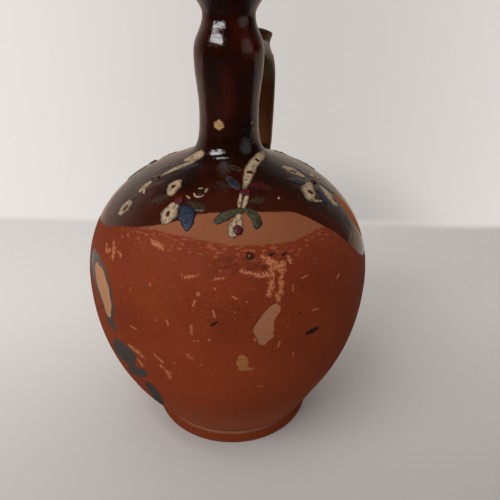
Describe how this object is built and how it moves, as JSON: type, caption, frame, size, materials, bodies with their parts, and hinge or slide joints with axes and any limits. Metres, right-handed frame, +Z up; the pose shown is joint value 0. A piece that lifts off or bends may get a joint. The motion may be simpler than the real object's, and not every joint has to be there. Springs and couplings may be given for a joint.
{
  "type": "clay jug",
  "caption": "Thrown clay jug with a round belly on a low foot, a narrow bulged neck, a flared mouth and a strap handle with a thumb rest.",
  "frame": {"origin": "centre of the underside of the foot", "axes": "+Z up along the axis the jug was thrown about, +Y towards the handle, +X to the right seen from the side opposite the handle"},
  "size_m": [0.13, 0.13, 0.205],
  "materials": {
    "fired_clay": "brick red slip on the belly, dark brown gloss glaze on shoulder, neck and handle"
  },
  "bodies": {
    "root": {"jug": "fired_clay"}
  },
  "joints": []
}
